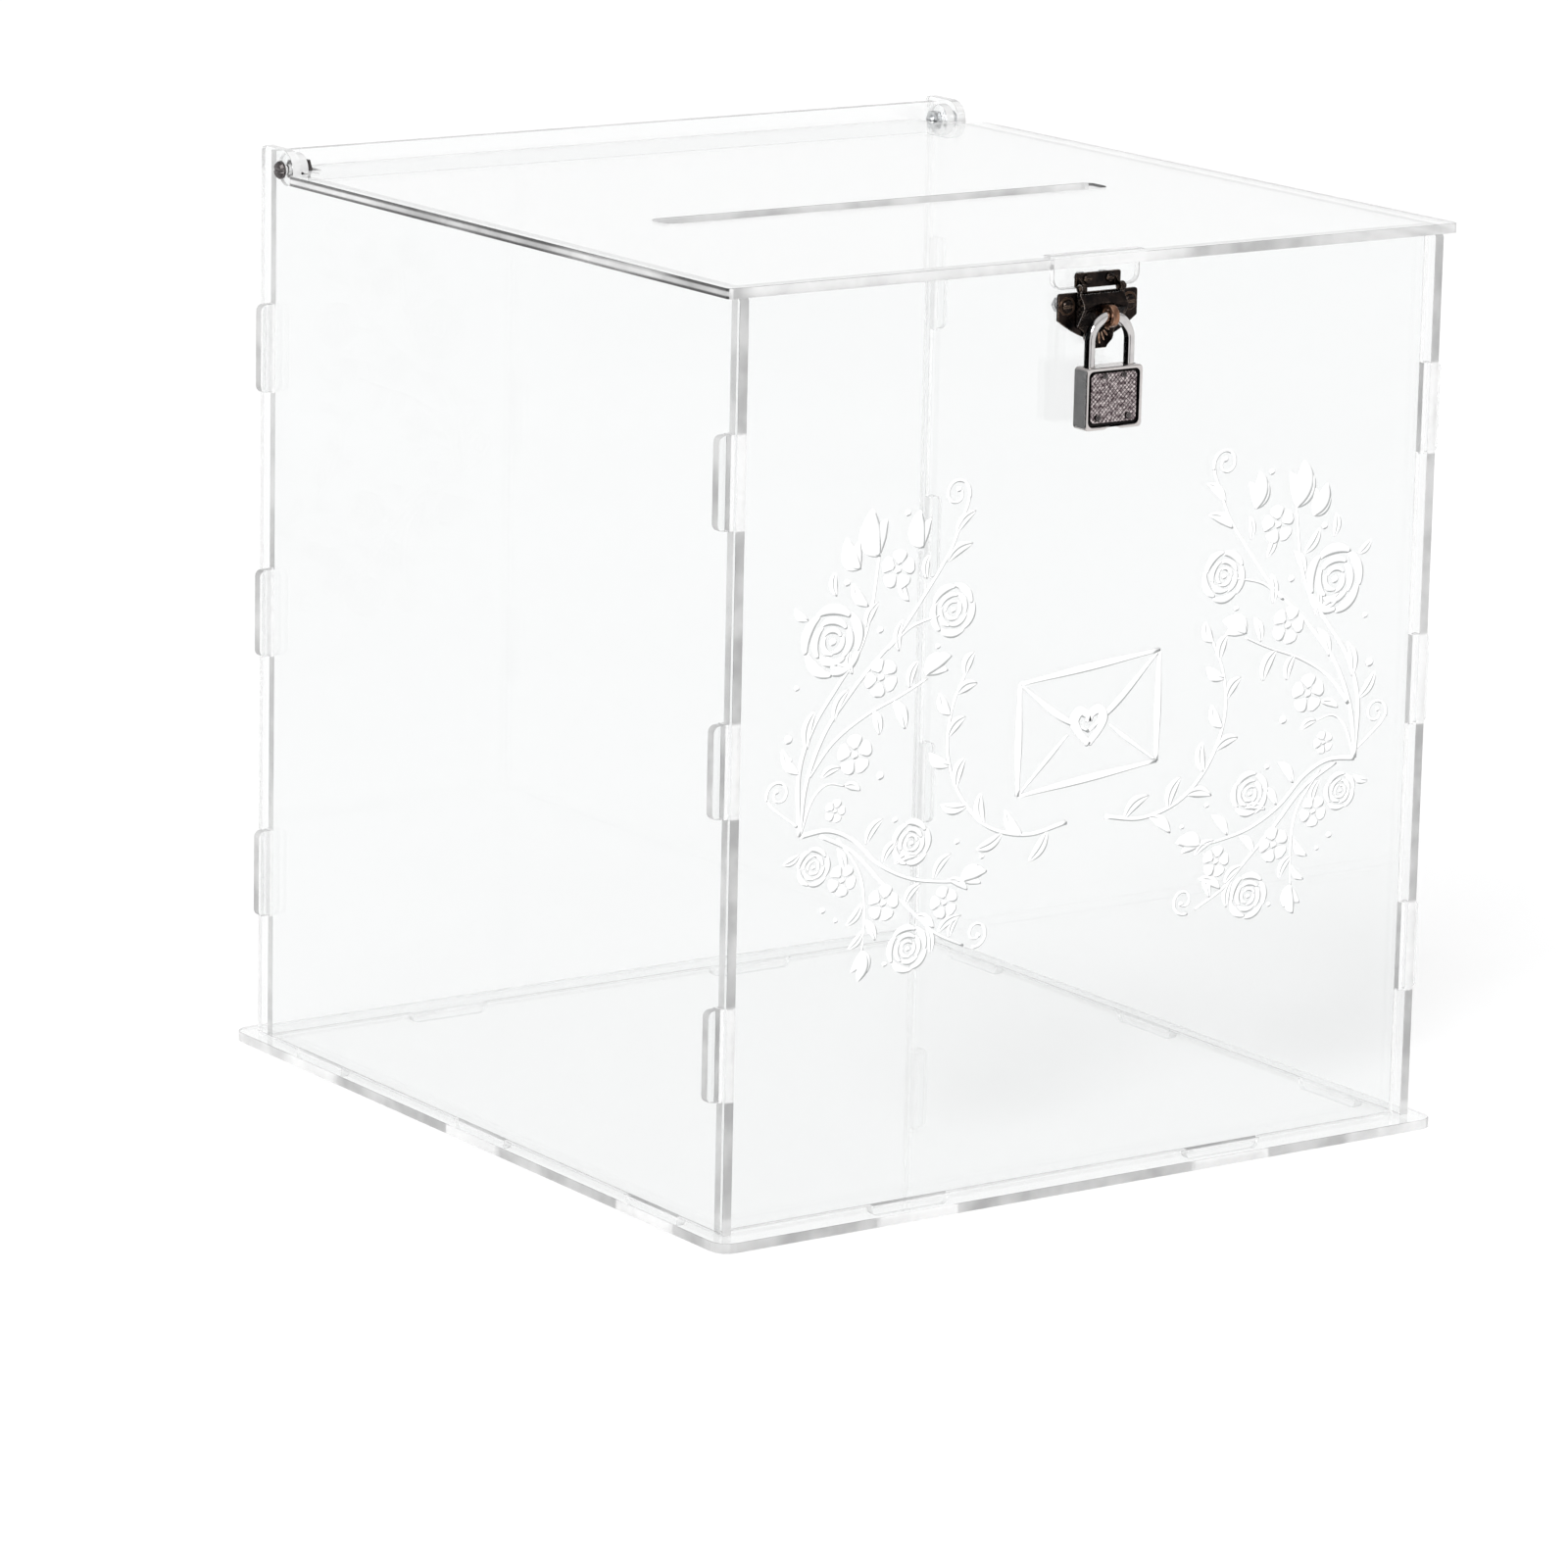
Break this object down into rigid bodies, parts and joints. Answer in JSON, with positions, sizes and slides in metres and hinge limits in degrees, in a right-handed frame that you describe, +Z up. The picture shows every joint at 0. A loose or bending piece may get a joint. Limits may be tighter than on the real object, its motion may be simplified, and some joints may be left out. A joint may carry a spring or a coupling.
{
  "type": "wedding card box",
  "caption": "Clear acrylic box of tabbed panels with a hinged slotted lid, a hasp and a small padlock, for cards and envelopes.",
  "frame": {"origin": "on the ground below the middle of the box", "axes": "+Z up, the front wall with the hasp faces -Y, +X to the right seen from the front"},
  "size_m": [0.2604, 0.271, 0.283],
  "materials": {
    "clear_acrylic": "clear, polished",
    "steel": "bright plated",
    "dark_bronze": "antique bronze plating, satin",
    "worn_copper": "antique bronze plating worn to copper",
    "chrome": "polished",
    "hatched_nickel": "crosshatched",
    "brass": "satin",
    "white_relief": "white printed relief"
  },
  "bodies": {
    "box": {"base_plate": "clear_acrylic", "front_wall": "clear_acrylic", "back_wall": "clear_acrylic", "left_wall": "clear_acrylic", "right_wall": "clear_acrylic", "hinge_screw_left": "steel", "hinge_screw_right": "steel", "hinge_nut_left": "steel", "hinge_nut_right": "steel", "staple_plate": "dark_bronze", "staple_eye": "worn_copper", "staple_screw_left": "dark_bronze", "staple_screw_right": "dark_bronze", "staple_nut_left": "steel", "staple_nut_right": "steel"},
    "lid": {"lid_panel": "clear_acrylic", "hasp_tab": "clear_acrylic", "hinge_lug_left": "clear_acrylic", "hinge_lug_right": "clear_acrylic", "hasp_leaf": "dark_bronze", "leaf_screw_left": "dark_bronze", "leaf_screw_right": "dark_bronze", "leaf_nut_left": "steel", "leaf_nut_right": "steel", "strap_pin_left": "dark_bronze", "strap_pin_right": "dark_bronze"},
    "strap": {"hasp_strap": "dark_bronze"},
    "shackle": {"padlock_shackle": "chrome"},
    "padlock_body": {"padlock_case": "chrome", "padlock_front_panel": "hatched_nickel", "padlock_back_panel": "hatched_nickel", "padlock_rivet_1": "chrome", "padlock_rivet_2": "chrome", "padlock_rivet_3": "chrome", "padlock_rivet_4": "chrome", "latch_spring": "steel"},
    "key_plug": {"key_plug": "brass"},
    "latch": {"latch_bolt": "steel"}
  },
  "joints": [
    {"name": "lid_hinge", "type": "hinge", "parent": "box", "child": "lid", "pos_m": [0, 0.1165, 0.2768], "axis": [-1, 0, 0], "range_deg": [0, 130]},
    {"name": "strap_hinge", "type": "hinge", "parent": "lid", "child": "strap", "pos_m": [0, -0.1275, 0.2672], "axis": [-1, 0, 0], "range_deg": [0, 6]},
    {"name": "shackle_swing", "type": "hinge", "parent": "box", "child": "shackle", "pos_m": [0, -0.132, 0.25965], "axis": [-1, 0, 0], "range_deg": [-5, 75]},
    {"name": "case_slide", "type": "slide", "parent": "shackle", "child": "padlock_body", "axis": [0, 0, -1], "range_m": [0, 0.0068]},
    {"name": "key_turn", "type": "hinge", "parent": "padlock_body", "child": "key_plug", "pos_m": [0, -0.132, 0.2275], "axis": [0, 0, 1], "range_deg": [0, 90]},
    {"name": "latch_slide", "type": "slide", "parent": "padlock_body", "child": "latch", "axis": [-1, 0, 0], "range_m": [0, 0.0011], "deforming": ["latch_spring"]}
  ],
  "couplings": [
    {"joint": "key_turn", "follows": "latch_slide", "rad_per_m": 1427}
  ]
}
